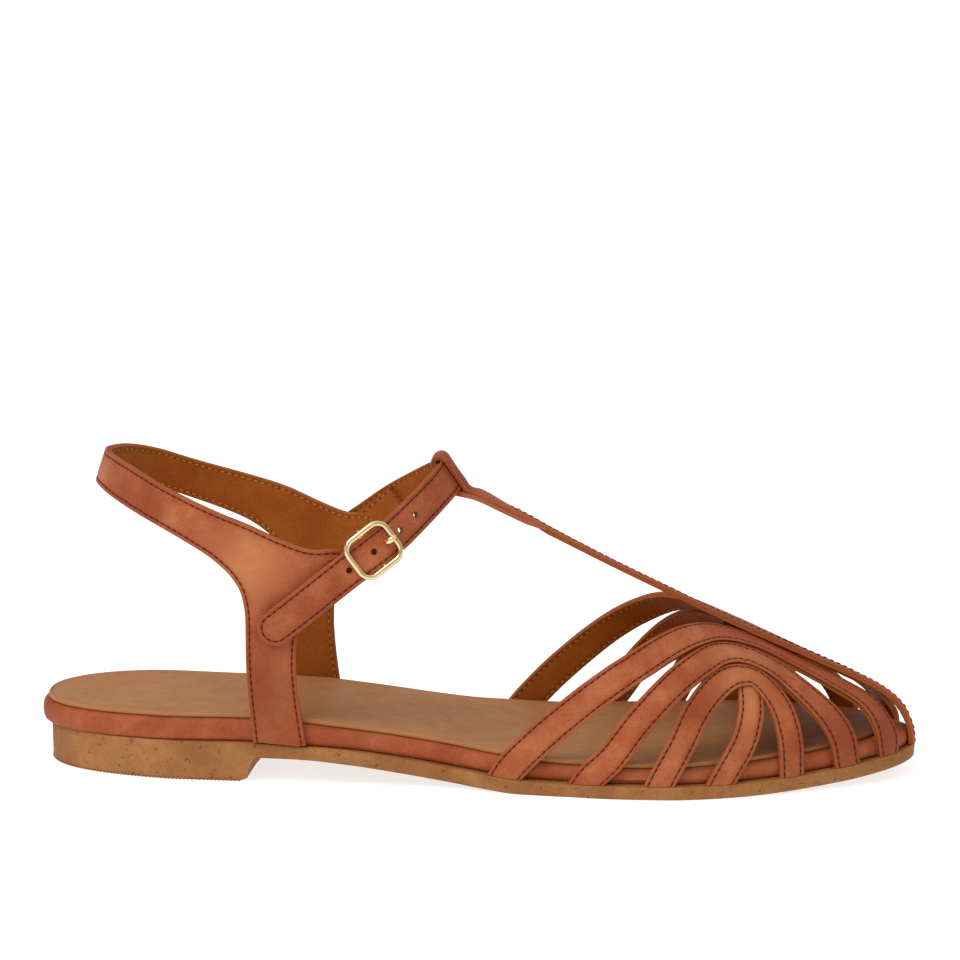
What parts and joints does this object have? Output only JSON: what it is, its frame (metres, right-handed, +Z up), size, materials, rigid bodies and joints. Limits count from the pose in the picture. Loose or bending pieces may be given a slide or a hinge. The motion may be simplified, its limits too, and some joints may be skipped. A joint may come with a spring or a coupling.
{
  "type": "t strap sandal",
  "caption": "Flat t strap sandal for the right foot: a cage of nested arched straps over the toes, a bar up to a buckled ankle strap and a sling-shaped heel band.",
  "frame": {"origin": "on the floor under the middle of the shoe's box", "axes": "+X to the toe, +Y to the inner side of the foot, +Z up"},
  "size_m": [0.2589, 0.0909, 0.0934],
  "materials": {
    "outsole": "matt natural rubber with fine dark specks",
    "rim": "wrapped terracotta leather, semi-matt",
    "insole": "smooth tan leather sock",
    "upper": "mottled terracotta leather, stitched edges",
    "heel_band": "mottled terracotta leather, stitched edges",
    "ankle_strap": "mottled terracotta leather, stitched edges",
    "buckle_frame": "polished pale brass",
    "buckle_prong": "polished pale brass"
  },
  "bodies": {
    "root": {"outsole": "outsole", "footbed": "rim", "insole": "insole", "upper": "upper", "heel_band": "heel_band", "ankle_strap": "ankle_strap", "buckle_frame": "buckle_frame", "buckle_prong": "buckle_prong"}
  },
  "joints": []
}
